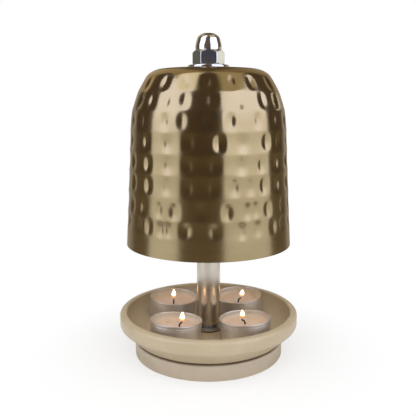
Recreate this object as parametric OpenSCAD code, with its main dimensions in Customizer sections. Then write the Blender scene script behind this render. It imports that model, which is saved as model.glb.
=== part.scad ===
// Tealight lamp: a ceramic dish on a ceramic foot, a central tube, and a hammered bell over four tealights.
// Everything on the axis is stacked on one threaded rod, clamped between a nut in the foot and the cap nut.
// Millimetres, +Z up. The origin is on the lamp's axis, in the plane that it stands on.

/* [Foot] */
// Outside diameter of the ceramic foot
foot_d = 114; // [104:1:126]
// Height of the foot
foot_h = 13; // [12.5:0.5:20]
// Thickness of the foot's top plate
foot_top_t = 3.5; // [3:0.1:4]
// Width of the ring that the foot stands on
foot_ring_w = 8; // [5:0.5:12]
// Rounding of the foot's lower edge and of its hollow
foot_round = 1; // [0.4:0.1:2]
// Width of the slope round the foot's top, which leaves a dark crease below the dish
foot_shoulder_w = 3.5; // [2:0.5:5]
// How far that slope falls towards the foot's side
foot_shoulder_drop = 1.6; // [1:0.1:2]
// Rounding between that slope and the foot's side
foot_shoulder_round = 1.2; // [0.5:0.1:1.5]

/* [Dish] */
// Height of the dish over the foot
dish_h = 21.2; // [18:0.1:26]
// Thickness of the dish's floor
dish_floor_t = 5; // [4:0.5:7]
// Width of the dish's lip
dish_lip_w = 5.4; // [5:0.1:8]
// How far the lip slopes down towards its outer edge
dish_lip_fall = 0.8; // [0:0.1:1.5]
// Rounding of the lip's outer edge
dish_lip_round = 2.4; // [1:0.1:2.6]
// Rounding of the lip's inner edge
dish_lip_inner_round = 1.4; // [0.5:0.1:1.8]
// Height of the upright band below the lip
dish_band_h = 10.2; // [6:0.1:12]
// Rounding where the band turns in to the underside
dish_band_round = 3; // [1:0.5:4]
// How far the underside rises from the foot's top to the edge above the crease
dish_edge_rise = 0.5; // [0:0.1:1]
// Rounding of that edge
dish_edge_round = 0.5; // [0.3:0.1:1]
// Radius of the hollow between the floor and the wall
dish_cove_r = 15.4; // [13:0.1:17]
// Room between the circle of tealights and the dish's wall
dish_margin = 5.5; // [5:0.1:10]

/* [Rod, nuts and washers] */
// Diameter of the threaded rod
rod_d = 12; // [10:1:12]
// Pitch of the thread
thread_pitch = 1.75; // [1.5:0.25:2]
// Clearance all round between the rod and a nut
thread_gap = 0.08; // [0.05:0.01:0.1]
// Clearance all round between the rod and a plain hole
hole_gap = 0.5; // [0.3:0.1:0.8]
// How far the rod reaches into the cap nut
rod_reach = 13; // [10:0.5:14]
// Diameter of a plain washer
washer_d = 24; // [22:0.5:28]
// Thickness of a plain washer
washer_t = 2.5; // [1.5:0.1:3]
// Diameter of the wide washer under the foot
foot_washer_d = 30; // [26:1:36]
// Thickness of the wide washer under the foot
foot_washer_t = 1.5; // [1:0.1:1.8]
// Thickness of the soft gaskets that keep steel off the ceramic
gasket_t = 0.5; // [0.3:0.1:0.8]
// Width across flats of the nut in the foot
foot_nut_af = 19; // [18:0.5:21]
// Height of the nut in the foot
foot_nut_h = 6; // [5:0.1:6.3]
// How far the rod stands out below the nut in the foot
rod_stub = 0.4; // [0.2:0.1:0.6]
// Diameter of the polished washer on the bell
top_washer_d = 30; // [26:0.5:31]
// Thickness of the polished washer on the bell
top_washer_t = 2.5; // [1.5:0.1:3]

/* [Cap nut] */
// Width across flats of the cap nut
cap_nut_af = 20.3; // [19.5:0.1:22]
// Height of the cap nut's hexagon
cap_hex_h = 10.2; // [8:0.1:12]
// Whole height of the cap nut
cap_nut_h = 22.5; // [21:0.5:26]
// Diameter of the cap nut's dome
cap_dome_d = 18.9; // [18:0.1:19.4]
// Turn of the hexagon, as it was left when tightened
cap_nut_turn = 2; // [0:1:59]

/* [Tube and sleeve] */
// Outside diameter of the tube
tube_d = 18; // [17:0.5:20]
// Wall of the tube
tube_wall = 1.5; // [1:0.1:1.8]
// Length of the tube, from the dish up to the inner bell
tube_len = 137; // [125:1:160]
// Length of the sleeve between the inner and the outer bell
sleeve_len = 48.3; // [40:0.1:60]

/* [Outer bell] */
// Diameter of the bell's mouth
bell_d = 123.6; // [118:0.2:140]
// Height of the bell
bell_h = 129; // [118:1:140]
// Thickness of the bell's sheet
bell_wall = 1.2; // [0.8:0.1:1.8]
// How much narrower than the mouth the bell is where its side turns into the shoulder
bell_side_inset = 5.7; // [3:0.1:8]
// Depth of that turn below the top
bell_side_drop = 20.9; // [16:0.1:26]
// How much narrower than the mouth the bell is where its shoulder turns into the crown
bell_crown_inset = 20.2; // [18:0.1:24]
// Depth of that turn below the top
bell_crown_drop = 0.9; // [0.5:0.1:2]
// Rounding between the side and the shoulder
bell_side_round = 58; // [50:1:62]
// Rounding between the shoulder and the crown
bell_crown_round = 13; // [8:0.5:14]
// Radius of the flat seat under the washer
bell_seat_r = 16; // [15.5:0.5:20]

/* [Inner bell] */
// Room between the inner and the outer bell at the mouth
bell_gap = 15.8; // [13:0.1:20]
// How far the inner bell's rim lies above the outer bell's rim
inner_rim_rise = 8.5; // [4:0.5:20]
// Thickness of the inner bell's sheet
inner_wall = 1; // [0.6:0.1:1.5]
// How much narrower the inner bell is at its top edge
inner_draw_in = 6; // [3:0.5:9]
// Rounding of the inner bell's top edge
inner_round = 14; // [8:1:16]

/* [Tealights] */
// Diameter of a tealight at its rim
tealight_d = 38.5; // [36:0.5:41]
// Height of a tealight's cup
cup_h = 16; // [14:0.5:20]
// How much narrower the cup is at its foot, on each side
cup_draft = 0.45; // [0.2:0.05:0.8]
// Thickness of the cup's foil
cup_wall = 0.3; // [0.2:0.05:0.5]
// Rounding of the cup's lower edge
cup_round = 2; // [1:0.1:3]
// How far the rolled rim stands out
cup_bead = 0.5; // [0.3:0.1:0.8]
// Depth of the melted wax below the rim
wax_depth = 5.5; // [2:0.5:8]
// Height of the wax that clings to the cup's wall
wax_creep = 0.9; // [0.4:0.1:1.5]
// Diameter of a wick
wick_d = 1.1; // [1:0.1:2]
// Height of the upright part of a burnt wick above the wax
wick_h = 0.6; // [0.3:0.1:2]
// Height of a wick that still stands straight above the wax
straight_wick_h = 4; // [3:0.1:6]
// Bend radius of a burnt wick
wick_bend_r = 2.6; // [2:0.1:4]
// Diameter of the tin disc that holds a wick
wick_disc_d = 13; // [10:0.5:18]
// Height of the collar on that disc
wick_collar_h = 3; // [2:0.5:5]
// Room between the washer on the dish and the circle of tealights
tealight_gap = 7; // [5:0.25:10]
// How far the front right tealight was put inside that circle
front_right_inset = 0.85; // [0:0.05:2]
// Compass angle of the front left tealight, in degrees
front_left_angle = -129.7; // [-138:0.1:-128]
// Compass angle of the front right tealight
front_right_angle = -42.3; // [-46:0.1:-38]
// Compass angle of the back left tealight
back_left_angle = 139.8; // [132:0.1:142]
// Compass angle of the back right tealight
back_right_angle = 48.8; // [40:0.1:52]
// Angle by which the front left wick is bent to the right
front_left_bend_angle = 80; // [0:5:90]
// Angle by which the front right wick is bent to the left
front_right_bend_angle = 90; // [0:5:90]
// Angle by which the back right wick is bent to the right
back_right_bend_angle = 90; // [0:5:90]
// How far the front left wick and its tin disc have drifted to the right in the melted wax
front_left_drift = 2.5; // [0:0.5:4]
// How far the front right wick has drifted towards the back
front_right_drift = 1.5; // [0:0.5:4]
// How far the two back wicks have drifted towards the front
back_drift = 2.5; // [0:0.5:4]

/* [Hidden] */
$fn = 96;

// Clearance of loose pieces that lie on each other without a fit
loose_gap = 0.2;
// Clearance between a tealight's own pieces
wax_gap = 0.05;
// Small edge break on washers and nuts
edge_break = 0.4;
// Straight steps in a rounded corner
corner_steps = 8;
// Angle of the cones that end a nut's hexagon, and of the steeper one under the cap nut's dome
nut_chamfer_angle = 30;
cap_chamfer_angle = 45;
// Corners of the cap nut's dome, inwards from its side and down from its top, and their roundings
dome_upright = 4;
dome_draw_in = 1.55;
dome_shoulder_drop = 2.6;
dome_crown_inset = 5.25;
dome_crown_drop = 0.3;
dome_round = 10;
dome_shoulder_round = 3.5;
// Height of the drill's cone at the end of the cap nut's bore
drill_point_h = 3;
// Width of the upper edge of the wax that clings to the cup
wax_edge = 0.2;
// How much thicker the burnt end of a wick is
char_swell = 0.1;

// The four tealights: compass angle, step inwards from their common circle, bend of the wick, which is
// positive where it bends towards +X, and where the wick and its tin disc have drifted to
FRONT_LEFT = [front_left_angle, 0, front_left_bend_angle, [front_left_drift, 0]];
FRONT_RIGHT = [front_right_angle, front_right_inset, -front_right_bend_angle, [0, front_right_drift]];
BACK_LEFT = [back_left_angle, 0, 0, [0, -back_drift]];
BACK_RIGHT = [back_right_angle, 0, back_right_bend_angle, [0, -back_drift]];

hole_r = rod_d / 2 + hole_gap;
nut_bore_r = rod_d / 2 + thread_gap;

// Heights of the stack, from the ground up
foot_recess_z = foot_h - foot_top_t;
foot_washer_z = foot_recess_z - gasket_t - foot_washer_t;
foot_nut_z = foot_washer_z - foot_nut_h;
rod_bottom_z = foot_nut_z - rod_stub;
dish_rim_z = foot_h + dish_h;
dish_floor_z = foot_h + dish_floor_t;
dish_washer_z = dish_floor_z + gasket_t;
tube_z = dish_washer_z + washer_t;
lower_bell_washer_z = tube_z + tube_len;
inner_top_z = lower_bell_washer_z + washer_t + inner_wall;
sleeve_z = inner_top_z + washer_t;
bell_support_z = sleeve_z + sleeve_len;
bell_top_z = bell_support_z + washer_t + bell_wall;
bell_rim_z = bell_top_z - bell_h;
cap_nut_z = bell_top_z + top_washer_t;
rod_top_z = cap_nut_z + rod_reach;

// Plan sizes of the dish, which follow from the tealights that it holds
cup_base_r = tealight_d / 2 - cup_draft;
tealight_ring_r = washer_d / 2 + tealight_gap + tealight_d / 2;
dish_inner_r = tealight_ring_r + tealight_d / 2 + dish_margin;
dish_floor_r = dish_inner_r - dish_cove_r;
dish_r = dish_inner_r + dish_lip_w;

// Outline helpers. A corner is [x, z, rounding], and a line of corners becomes a line of points.
function unit(v) = v / norm(v);
function xz(corner) = [corner[0], corner[1]];
function rounding(corner) = corner[2] == undef ? 0 : corner[2];
function at(list, i) = list[(i + len(list)) % len(list)];
function half_angle(a, b, c) = acos(unit(a - b) * unit(c - b)) / 2;
function left_of(a, b) = let(u = unit(b - a)) [-u[1], u[0]];
function reverse(list) = [for (i = [len(list) - 1:-1:0]) list[i]];

// Length that the rounding of corner i takes from each of the two lines that meet there
function taken(corners, i) =
    rounding(at(corners, i)) == 0
        ? 0
        : rounding(at(corners, i))
            / tan(half_angle(xz(at(corners, i - 1)), xz(at(corners, i)), xz(at(corners, i + 1))));

// Share of its rounding that corner i has room for, beside the roundings of its neighbours
function room(corners, i) = min([1, for (side = [0, 1])
    let(both = taken(corners, i + side - 1) + taken(corners, i + side))
    both == 0 ? 1 : 0.99 * norm(xz(at(corners, i + side)) - xz(at(corners, i + side - 1))) / both]);

// Arc that rounds the corner b between the points a and c
function fillet(a, b, c, r) =
    let(
        u = unit(a - b), v = unit(c - b), half = half_angle(a, b, c),
        centre = b + unit(u + v) * r / sin(half),
        start = b + u * r / tan(half) - centre, end = b + v * r / tan(half) - centre,
        angle = atan2(start[1], start[0]),
        turn = (atan2(end[1], end[0]) - angle + 540) % 360 - 180
    )
    [for (i = [0:corner_steps]) centre + r * [cos(angle + turn * i / corner_steps),
                                              sin(angle + turn * i / corner_steps)]];

// A line of corners with every corner rounded as it says, for a closed outline or for an open line
// whose two ends are sharp
function outline(corners) =
    [for (i = [0:len(corners) - 1]) each
        rounding(corners[i]) == 0
            ? [xz(corners[i])]
            : fillet(xz(at(corners, i - 1)), xz(corners[i]), xz(at(corners, i + 1)),
                     rounding(corners[i]) * room(corners, i))];

// The same open line, moved to its left by the thickness t
function moved_left(corners, t) =
    let(last = len(corners) - 1)
    [for (i = [0:last])
        let(
            before = left_of(xz(corners[max(i - 1, 0)]), xz(corners[max(i, 1)])),
            after = left_of(xz(corners[min(i, last - 1)]), xz(corners[min(i + 1, last)])),
            point = xz(corners[i]) + (before + after) * t / (1 + before * after),
            round = max(0, rounding(corners[i]) - t)
        )
        [point[0], point[1], round]];

// A sheet metal shell, spun from the line of its outer face
module spun_sheet(corners, t) {
    rotate_extrude()
        polygon(concat(outline(corners), reverse(outline(moved_left(corners, t)))));
}

module ring(outer_r, inner_r, h, edge = 0) {
    rotate_extrude()
        polygon(outline([[inner_r, 0], [outer_r, 0, edge], [outer_r, h, edge], [inner_r, h]]));
}

module plain_washer() {
    ring(washer_d / 2, hole_r, washer_t, edge_break);
}

module gasket() {
    ring(washer_d / 2, hole_r, gasket_t);
}

// A hexagon whose corners are turned down to cones at its two ends
module turned_hexagon(across_flats, h, low_slope, high_slope) {
    flat_r = across_flats / 2;
    corner_r = flat_r / cos(30);
    low_cut = (corner_r - flat_r) * tan(low_slope);
    high_cut = (corner_r - flat_r) * tan(high_slope);
    intersection() {
        cylinder(r = corner_r, h = h, $fn = 6);
        rotate_extrude()
            polygon([[0, 0], [flat_r, 0], [corner_r + edge_break, low_cut + edge_break * tan(low_slope)],
                     [corner_r + edge_break, h - high_cut - edge_break * tan(high_slope)],
                     [flat_r, h], [0, h]]);
    }
}

module foot() {
    foot_r = foot_d / 2;
    color("#bbab98")
        rotate_extrude()
            polygon(outline([
                [foot_r, 0, foot_round], [foot_r, foot_h - foot_shoulder_drop, foot_shoulder_round],
                [foot_r - foot_shoulder_w, foot_h], [hole_r, foot_h], [hole_r, foot_recess_z],
                [foot_r - foot_ring_w, foot_recess_z, foot_round], [foot_r - foot_ring_w, 0, foot_round]
            ]));
}

module dish() {
    // The cove runs up to just under the lip, or becomes an upright wall where it is small
    cove_top = dish_rim_z - dish_lip_inner_round * 2 - dish_floor_z;
    cove_turn = min(90, acos(max(0, 1 - cove_top / dish_cove_r)));
    cove = [for (i = [3 * corner_steps:-1:0])
        let(a = cove_turn * i / (3 * corner_steps))
        [dish_floor_r + dish_cove_r * sin(a), dish_floor_z + dish_cove_r * (1 - cos(a))]];
    color("#b5a48b")
        rotate_extrude()
            polygon(outline(concat(
                [
                    [hole_r, foot_h], [foot_d / 2 - foot_shoulder_w, foot_h],
                    [foot_d / 2, foot_h + dish_edge_rise, dish_edge_round],
                    [dish_r, dish_rim_z - dish_band_h, dish_band_round],
                    [dish_r, dish_rim_z - dish_lip_fall, dish_lip_round],
                    [dish_inner_r, dish_rim_z, dish_lip_inner_round]
                ],
                cove, [[hole_r, dish_floor_z]]
            )));
}

module foot_gasket() {
    color("#4a3a2c") translate([0, 0, foot_recess_z - gasket_t]) ring(foot_washer_d / 2, hole_r, gasket_t);
}

module foot_washer() {
    color("#b9bcbe")
        translate([0, 0, foot_washer_z]) ring(foot_washer_d / 2, hole_r, foot_washer_t, edge_break);
}

module foot_nut() {
    color("#b9bcbe")
        translate([0, 0, foot_nut_z])
            difference() {
                turned_hexagon(foot_nut_af, foot_nut_h, nut_chamfer_angle, nut_chamfer_angle);
                translate([0, 0, -1]) cylinder(r = nut_bore_r, h = foot_nut_h + 2);
            }
}

module threaded_rod() {
    color("#a9abac")
        rotate_extrude()
            polygon([
                [0, rod_bottom_z], [rod_d / 2 - edge_break, rod_bottom_z],
                [rod_d / 2, rod_bottom_z + edge_break], [rod_d / 2, rod_top_z - 2 * edge_break],
                [rod_d / 2 - 2 * edge_break, rod_top_z], [0, rod_top_z]
            ]);
}

module dish_gasket() {
    color("#4a3a2c") translate([0, 0, dish_floor_z]) gasket();
}

module dish_washer() {
    color("#b9bcbe") translate([0, 0, dish_washer_z]) plain_washer();
}

module tube() {
    color("#b9b1a5") translate([0, 0, tube_z]) ring(tube_d / 2, tube_d / 2 - tube_wall, tube_len);
}

module lower_bell_washer() {
    color("#b9bcbe") translate([0, 0, lower_bell_washer_z]) plain_washer();
}

module inner_bell() {
    rim_r = bell_d / 2 - bell_gap;
    color("#8f8c86")
        spun_sheet([
            [rim_r, bell_rim_z + inner_rim_rise],
            [rim_r - inner_draw_in, inner_top_z, inner_round],
            [hole_r, inner_top_z]
        ], inner_wall);
}

module upper_bell_washer() {
    color("#b9bcbe") translate([0, 0, inner_top_z]) plain_washer();
}

module sleeve() {
    color("#b9b1a5") translate([0, 0, sleeve_z]) ring(tube_d / 2, tube_d / 2 - tube_wall, sleeve_len);
}

module bell_support_washer() {
    color("#b9bcbe") translate([0, 0, bell_support_z]) plain_washer();
}

module outer_bell() {
    color("#7a6234")
        spun_sheet([
            [bell_d / 2, bell_rim_z],
            [bell_d / 2 - bell_side_inset, bell_top_z - bell_side_drop, bell_side_round],
            [bell_d / 2 - bell_crown_inset, bell_top_z - bell_crown_drop, bell_crown_round],
            [bell_seat_r, bell_top_z],
            [hole_r, bell_top_z]
        ], bell_wall);
}

module top_washer() {
    color("#c9ccce")
        translate([0, 0, bell_top_z]) ring(top_washer_d / 2, hole_r, top_washer_t, 2 * edge_break);
}

module cap_nut() {
    dome_r = cap_dome_d / 2;
    bore_h = rod_reach + thread_pitch;
    // The dome stands upright, draws in a little, and ends in a well rounded shoulder and a flattish crown
    dome = outline([
        [dome_r, 0], [dome_r, cap_hex_h + dome_upright, dome_round],
        [dome_r - dome_draw_in, cap_nut_h - dome_shoulder_drop, dome_shoulder_round],
        [dome_r - dome_crown_inset, cap_nut_h - dome_crown_drop, dome_round / 2], [0, cap_nut_h]
    ]);
    color("#c9ccce")
        translate([0, 0, cap_nut_z]) rotate([0, 0, cap_nut_turn])
            difference() {
                union() {
                    turned_hexagon(cap_nut_af, cap_hex_h, nut_chamfer_angle, cap_chamfer_angle);
                    rotate_extrude() polygon(concat([[0, 0]], dome));
                }
                rotate_extrude()
                    polygon([[0, -1], [nut_bore_r, -1], [nut_bore_r, bore_h], [0, bore_h + drill_point_h]]);
            }
}

// A tealight stands with its outer edge a little up on the cove of the dish, as far as its place makes it
function ring_r(spot) = tealight_ring_r - spot[1];
function edge_climb(spot) =
    let(
        out = max(0, ring_r(spot) + cup_base_r - cup_round - dish_floor_r),
        reach = dish_cove_r - cup_round
    )
    reach - sqrt(pow(reach - loose_gap, 2) - pow(out, 2));
function lean(spot) = asin(edge_climb(spot) / (2 * (cup_base_r - cup_round)));

module at_tealight(spot) {
    pivot = cup_base_r - cup_round;
    rotate([0, 0, spot[0]])
        translate([ring_r(spot) - pivot, 0, dish_floor_z + loose_gap])
            rotate([0, -lean(spot), 0])
                translate([pivot, 0, 0])
                    rotate([0, 0, -spot[0]])
                        children();
}

// Outer face of the cup, from the middle of its floor to its rolled rim
function cup_line() = [
    [0, 0], [cup_base_r, 0, cup_round],
    [tealight_d / 2 - cup_bead, cup_h - 2 * cup_bead, 2 * cup_bead], [tealight_d / 2, cup_h - cup_bead],
    [tealight_d / 2, cup_h]
];

module cup(spot) {
    color("#a39a8c")
        at_tealight(spot)
            spun_sheet(cup_line(), cup_wall);
}

module wax(spot) {
    level = cup_h - wax_depth;
    floor_z = cup_wall + wax_gap;
    base_r = cup_base_r - cup_wall - wax_gap;
    top_r = base_r + (cup_draft - cup_bead) * level / cup_h;
    bore_r = wick_d / 2 + wax_gap;
    collar_r = bore_r + cup_wall + wax_gap;
    disc_top_z = floor_z + cup_wall + wax_gap;
    color("#c9b3a0")
        at_tealight(spot)
            difference() {
                rotate_extrude()
                    polygon(outline([
                        [0, floor_z], [base_r, floor_z, cup_round],
                        [top_r, level + wax_creep], [top_r - wax_edge, level + wax_creep],
                        [top_r - wax_creep, level, wax_creep / 2], [0, level]
                    ]));
                // Room for the wick, its collar and its disc
                translate(spot[3])
                    rotate_extrude()
                        polygon([
                            [0, floor_z - 1], [wick_disc_d / 2 + wax_gap, floor_z - 1],
                            [wick_disc_d / 2 + wax_gap, disc_top_z], [collar_r, disc_top_z],
                            [collar_r, disc_top_z + wick_collar_h], [bore_r, disc_top_z + wick_collar_h],
                            [bore_r, level + 1], [0, level + 1]
                        ]);
            }
}

// Upright through the wax, and then, where the flame has bent it, on into a thicker burnt end
module wick(spot) {
    foot_z = 2 * cup_wall + wax_gap;
    level = cup_h - wax_depth;
    bend = spot[2];
    top_z = level + (bend == 0 ? straight_wick_h : wick_h + char_swell);
    color("#2a211c")
        at_tealight(spot) translate(spot[3]) {
            translate([0, 0, foot_z]) cylinder(d = wick_d, h = top_z - foot_z);
            if (bend != 0)
                rotate([0, 0, bend > 0 ? 0 : 180])
                    translate([wick_bend_r, 0, level + wick_h])
                        rotate([90, 0, 0]) rotate([0, 0, 180 - abs(bend)])
                            rotate_extrude(angle = abs(bend))
                                translate([wick_bend_r, 0]) circle(d = wick_d + char_swell, $fn = 24);
        }
}

module wick_holder(spot) {
    bore_r = wick_d / 2 + wax_gap / 2;
    color("#9a9a98")
        at_tealight(spot)
            translate([spot[3][0], spot[3][1], cup_wall])
                rotate_extrude()
                    polygon([
                        [0, 0], [wick_disc_d / 2, 0], [wick_disc_d / 2, cup_wall],
                        [bore_r + cup_wall, cup_wall], [bore_r + cup_wall, cup_wall + wick_collar_h],
                        [bore_r, cup_wall + wick_collar_h], [bore_r, cup_wall], [0, cup_wall]
                    ]);
}

foot();
dish();
foot_gasket();
foot_washer();
foot_nut();
threaded_rod();
dish_gasket();
dish_washer();
tube();
lower_bell_washer();
inner_bell();
upper_bell_washer();
sleeve();
bell_support_washer();
outer_bell();
top_washer();
cap_nut();
cup(FRONT_LEFT);  // cup_front_left
wax(FRONT_LEFT);  // wax_front_left
wick(FRONT_LEFT);  // wick_front_left
wick_holder(FRONT_LEFT);  // wick_holder_front_left
cup(FRONT_RIGHT);  // cup_front_right
wax(FRONT_RIGHT);  // wax_front_right
wick(FRONT_RIGHT);  // wick_front_right
wick_holder(FRONT_RIGHT);  // wick_holder_front_right
cup(BACK_LEFT);  // cup_back_left
wax(BACK_LEFT);  // wax_back_left
wick(BACK_LEFT);  // wick_back_left
wick_holder(BACK_LEFT);  // wick_holder_back_left
cup(BACK_RIGHT);  // cup_back_right
wax(BACK_RIGHT);  // wax_back_right
wick(BACK_RIGHT);  // wick_back_right
wick_holder(BACK_RIGHT);  // wick_holder_back_right
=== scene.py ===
# Tealight lamp: a hammered brass bell over four tealights in a stoneware dish. Metres, +Z up, and the front
# is towards -Y. Outlines are drawn in millimetres on the lamp's axis and become metres in finish_piece.
import math
import random

import bmesh
import bpy
from mathutils import Matrix, Vector, kdtree, noise


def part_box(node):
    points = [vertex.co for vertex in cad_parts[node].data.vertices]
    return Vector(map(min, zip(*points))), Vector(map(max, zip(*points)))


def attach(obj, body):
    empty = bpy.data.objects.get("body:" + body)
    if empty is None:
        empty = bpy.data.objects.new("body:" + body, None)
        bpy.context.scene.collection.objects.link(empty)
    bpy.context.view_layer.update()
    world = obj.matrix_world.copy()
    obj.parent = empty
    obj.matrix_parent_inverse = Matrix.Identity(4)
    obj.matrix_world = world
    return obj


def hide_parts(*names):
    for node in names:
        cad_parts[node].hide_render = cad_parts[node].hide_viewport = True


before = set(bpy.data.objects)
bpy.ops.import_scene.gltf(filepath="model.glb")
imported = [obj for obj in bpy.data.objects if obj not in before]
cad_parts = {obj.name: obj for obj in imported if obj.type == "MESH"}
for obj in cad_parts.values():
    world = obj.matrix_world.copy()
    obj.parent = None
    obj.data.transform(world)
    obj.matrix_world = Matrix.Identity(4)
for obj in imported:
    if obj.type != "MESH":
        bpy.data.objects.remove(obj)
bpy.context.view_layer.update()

MM = 0.001


def foot_of(node):
    """The height of a CAD node's lowest point, in millimetres, rounded to what its mesh can tell."""
    return round(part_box(node)[0].z / MM, 2)


def top_of(node):
    """The height of a CAD node's highest point, in millimetres."""
    return round(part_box(node)[1].z / MM, 2)


def radius_of(node):
    """The radius of a CAD node that is round the lamp's axis, in millimetres."""
    return round(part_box(node)[1].x / MM, 2)


# The holes for the rod, the nuts' threads, and the bore of the tube and the sleeve
HOLE_R = 6.5
NUT_BORE_R = 6.08
TUBE_BORE_R = 7.5
# Heights where the ceramics, the bells and the cap nut meet their neighbours
FOOT_SEAT, FOOT_TOP, DISH_SEAT = top_of("foot_gasket"), top_of("foot"), foot_of("dish_gasket")
INNER_BELL_TOP, BELL_TOP, NUT_SEAT = top_of("inner_bell"), top_of("outer_bell"), foot_of("cap_nut")
# Where the camera stands: how far in front of the rod, and how high
CAMERA_BACK, CAMERA_HEIGHT = 435, 189.7


# Drawing and turning.

def draw_outline(bm, corners, closed, segments):
    """Draws corners (radius, height, rounding) as a line in the XZ plane and rounds them."""
    count = len(corners)
    points = [bm.verts.new((corner[0], 0, corner[1])) for corner in corners]
    for i in range(count if closed else count - 1):
        bm.edges.new((points[i], points[(i + 1) % count]))
    for i, corner in enumerate(corners):
        if len(corner) < 3:
            continue
        before, here, after = (Vector(corners[k % count][:2]) for k in (i - 1, i, i + 1))
        half_angle = (before - here).angle(after - here) / 2
        bmesh.ops.bevel(
            bm, geom=[points[i]], offset=corner[2] / math.tan(half_angle), offset_type="OFFSET",
            segments=segments, profile=0.5, affect="VERTICES", clamp_overlap=False, material=-1)


def divide_line(bm, longest, low=-1e9, high=1e9):
    """Divides the line's edges between two heights until none is longer than it may be."""
    for edge in bm.edges[:]:
        middle = (edge.verts[0].co.z + edge.verts[1].co.z) / 2
        cuts = math.ceil(edge.calc_length() / longest) - 1
        if cuts > 0 and low < middle < high:
            bmesh.ops.subdivide_edges(bm, edges=[edge], cuts=cuts)


def spin_round(bm, steps):
    """Spins the line a quarter round the axis, doubles that twice, and closes the seams and the poles."""
    bmesh.ops.spin(
        bm, geom=bm.verts[:] + bm.edges[:], cent=(0, 0, 0), axis=(0, 0, 1), dvec=(0, 0, 0),
        angle=math.tau / 4, steps=steps // 4, use_merge=False, use_duplicate=False)
    for angle in (90, 180):
        copied = bmesh.ops.duplicate(bm, geom=bm.verts[:] + bm.edges[:] + bm.faces[:])["geom"]
        bmesh.ops.rotate(bm, cent=(0, 0, 0), matrix=Matrix.Rotation(math.radians(angle), 3, "Z"),
                         verts=[part for part in copied if isinstance(part, bmesh.types.BMVert)])
    bmesh.ops.remove_doubles(bm, verts=bm.verts[:], dist=0.001)
    bmesh.ops.recalc_face_normals(bm, faces=bm.faces[:])


def turned(corners, steps=96, closed=True, segments=5):
    """A turned piece, from its outline."""
    bm = bmesh.new()
    draw_outline(bm, corners, closed, segments)
    spin_round(bm, steps)
    return bm


def ring(outer_r, inner_r, bottom, top, edge):
    """A washer or a length of tube, with its outer edges rounded."""
    return turned([(inner_r, bottom), (outer_r, bottom, edge), (outer_r, top, edge), (inner_r, top)],
                  segments=3)


def pull_to_hexagon(bm, across_flats, bottom, top, bottom_slope, top_slope, turn=0.0):
    """Moves a turned blank's side onto a hexagon, whose corners are turned down to a cone at each end."""
    flat_r = across_flats / 2
    # The corners are turned down this much, and the cones start this far inside the flats
    turned_off = 0.1
    widest = flat_r / math.cos(math.radians(30)) - turned_off
    for v in bm.verts:
        radius = math.hypot(v.co.x, v.co.y)
        if abs(radius - flat_r) > 0.01 or not bottom - 0.01 < v.co.z < top + 0.01:
            continue
        angle = (math.degrees(math.atan2(v.co.y, v.co.x)) - turn) % 60 - 30
        pulled = min(
            flat_r / math.cos(math.radians(angle)), widest,
            flat_r - turned_off + (v.co.z - bottom) / math.tan(math.radians(bottom_slope)),
            flat_r - turned_off + (top - v.co.z) / math.tan(math.radians(top_slope)))
        v.co.x *= pulled / radius
        v.co.y *= pulled / radius


def hexagon_rows(flat_r, bottom, top, cone_height):
    """Points down a blank's side, close together where the cones cut the hexagon."""
    spacing = 0.15
    near = [spacing * i for i in range(int(cone_height / spacing) + 2)]
    heights = [top - h for h in near] + [(top + bottom) / 2] + [bottom + h for h in reversed(near)]
    return [(flat_r, height) for height in heights]


def finish_piece(bm, name, body, material, nodes=(), place=None, sharp=38):
    """Makes the mesh a smooth object in metres, with its body, its finish and the nodes it replaces."""
    if place is not None:
        bmesh.ops.transform(bm, matrix=place, verts=bm.verts[:])
    bmesh.ops.scale(bm, vec=(MM, MM, MM), verts=bm.verts[:])
    mesh = bpy.data.meshes.new(name)
    bm.to_mesh(mesh)
    bm.free()
    mesh.shade_smooth()
    mesh.set_sharp_from_angle(angle=math.radians(sharp))
    mesh.materials.append(material)
    piece = bpy.data.objects.new(name, mesh)
    bpy.context.collection.objects.link(piece)
    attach(piece, body)
    if nodes:
        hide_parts(*nodes)
    return piece


# Materials.

def linear(colour):
    """An sRGB hex colour as linear RGBA."""
    parts = (int(colour[i:i + 2], 16) / 255 for i in (1, 3, 5))
    return (*(c / 12.92 if c <= 0.04045 else ((c + 0.055) / 1.055) ** 2.4 for c in parts), 1)


def add(tree, kind, settings, inputs):
    """Adds a node. An input is a value, or the output socket that is linked to it."""
    made = tree.nodes.new(kind)
    for key, value in settings.items():
        setattr(made, key, value)
    for key, value in inputs.items():
        if isinstance(value, bpy.types.NodeSocket):
            tree.links.new(value, made.inputs[key])
        else:
            made.inputs[key].default_value = value
    return made


def start_material(name, constants):
    """A material with the shader's constant values set, its tree, its shader and its Object coordinates."""
    made = bpy.data.materials.new(name)
    made.use_nodes = True
    tree = made.node_tree
    shader = tree.nodes["Principled BSDF"]
    for key, value in constants.items():
        shader.inputs[key].default_value = value
    return made, tree, shader, add(tree, "ShaderNodeTexCoord", {}, {}).outputs["Object"]


def dress(tree, shader, tone, rough=None, bump=None):
    """Links the nodes that vary over a surface to its shader: its colour, its roughness and its relief."""
    for node, output, socket in ((tone, 2, "Base Color"), (rough, 0, "Roughness"), (bump, 0, "Normal")):
        if node is not None:
            tree.links.new(node.outputs[output], shader.inputs[socket])


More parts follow.
